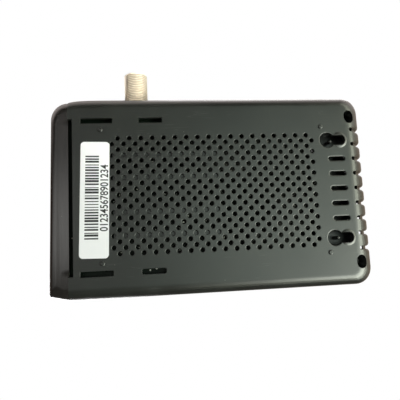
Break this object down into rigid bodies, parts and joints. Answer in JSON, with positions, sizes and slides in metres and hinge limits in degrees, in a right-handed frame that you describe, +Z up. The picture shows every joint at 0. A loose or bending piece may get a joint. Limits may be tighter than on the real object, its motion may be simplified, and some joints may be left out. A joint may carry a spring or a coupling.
{
  "type": "satellite television receiver",
  "caption": "Compact set-top satellite receiver: vented plastic case with keyhole hangers, an aerial socket and other sockets on one side, and sprung push keys on the fascia.",
  "frame": {"origin": "middle of the flat underside of the case, in the plane that the feet stand down from", "axes": "+Z up from the underside to the top, +Y from the fascia to the vented rear end, so the fascia faces -Y, and +X towards the side that carries the sockets"},
  "size_m": [0.0971, 0.1355, 0.0265],
  "materials": {
    "case_plastic": "charcoal moulded plastic with a fine satin texture",
    "fascia_plastic": "polished dark plastic",
    "window_plastic": "smoked polished plastic that lets infrared through",
    "key_plastic": "satin moulded plastic",
    "board_laminate": "glass-fibre laminate under green solder resist",
    "tin_plate": "folded tin-plated steel sheet",
    "nickel_plate": "nickel plating on turned metal",
    "contact_brass": "bright turned brass",
    "white_plastic": "natural white moulded plastic",
    "black_plastic": "black moulded plastic",
    "sink_aluminium": "plain aluminium",
    "ferrite": "grey ferrite",
    "screw_steel": "dark zinc-plated steel",
    "label_paper": null
  },
  "bodies": {
    "housing": {"lower_shell": "case_plastic", "upper_shell": "case_plastic", "front_fascia": "fascia_plastic", "display_window": "window_plastic", "main_board": "board_laminate", "tuner_can": "tin_plate", "tuner_lid": "tin_plate", "aerial_socket_barrel": "nickel_plate", "aerial_socket_insulator": "white_plastic", "aerial_socket_contact": "contact_brass", "av_jack": "black_plastic", "video_socket_shell": "tin_plate", "video_socket_tongue": "black_plastic", "data_socket_shell": "tin_plate", "data_socket_tongue": "white_plastic", "dc_jack": "black_plastic", "dc_jack_pin": "nickel_plate", "main_chip": "black_plastic", "heat_sink": "sink_aluminium", "memory_chip": "black_plastic", "flash_chip": "black_plastic", "crystal_can": "tin_plate", "inductor_1": "ferrite", "inductor_2": "ferrite", "capacitor_1": "sink_aluminium", "capacitor_2": "sink_aluminium", "capacitor_3": "sink_aluminium", "display_module": "black_plastic", "infrared_receiver": "black_plastic", "label": "label_paper", "board_screw_1": "screw_steel", "board_screw_2": "screw_steel", "board_screw_3": "screw_steel", "board_screw_4": "screw_steel", "case_screw_1": "screw_steel", "case_screw_2": "screw_steel", "power_switch": "black_plastic", "channel_down_switch": "black_plastic", "channel_up_switch": "black_plastic"},
    "power_button": {"power_key": "key_plastic", "power_plunger": "white_plastic"},
    "channel_down_button": {"channel_down_key": "key_plastic", "channel_down_plunger": "white_plastic"},
    "channel_up_button": {"channel_up_key": "key_plastic", "channel_up_plunger": "white_plastic"}
  },
  "joints": [
    {"name": "power_press", "type": "slide", "parent": "housing", "child": "power_button", "axis": [0, 1, 0], "range_m": [0, 0.0003], "stiffness_N_per_m": 2000},
    {"name": "channel_down_press", "type": "slide", "parent": "housing", "child": "channel_down_button", "axis": [0, 1, 0], "range_m": [0, 0.0003], "stiffness_N_per_m": 2000},
    {"name": "channel_up_press", "type": "slide", "parent": "housing", "child": "channel_up_button", "axis": [0, 1, 0], "range_m": [0, 0.0003], "stiffness_N_per_m": 2000}
  ]
}
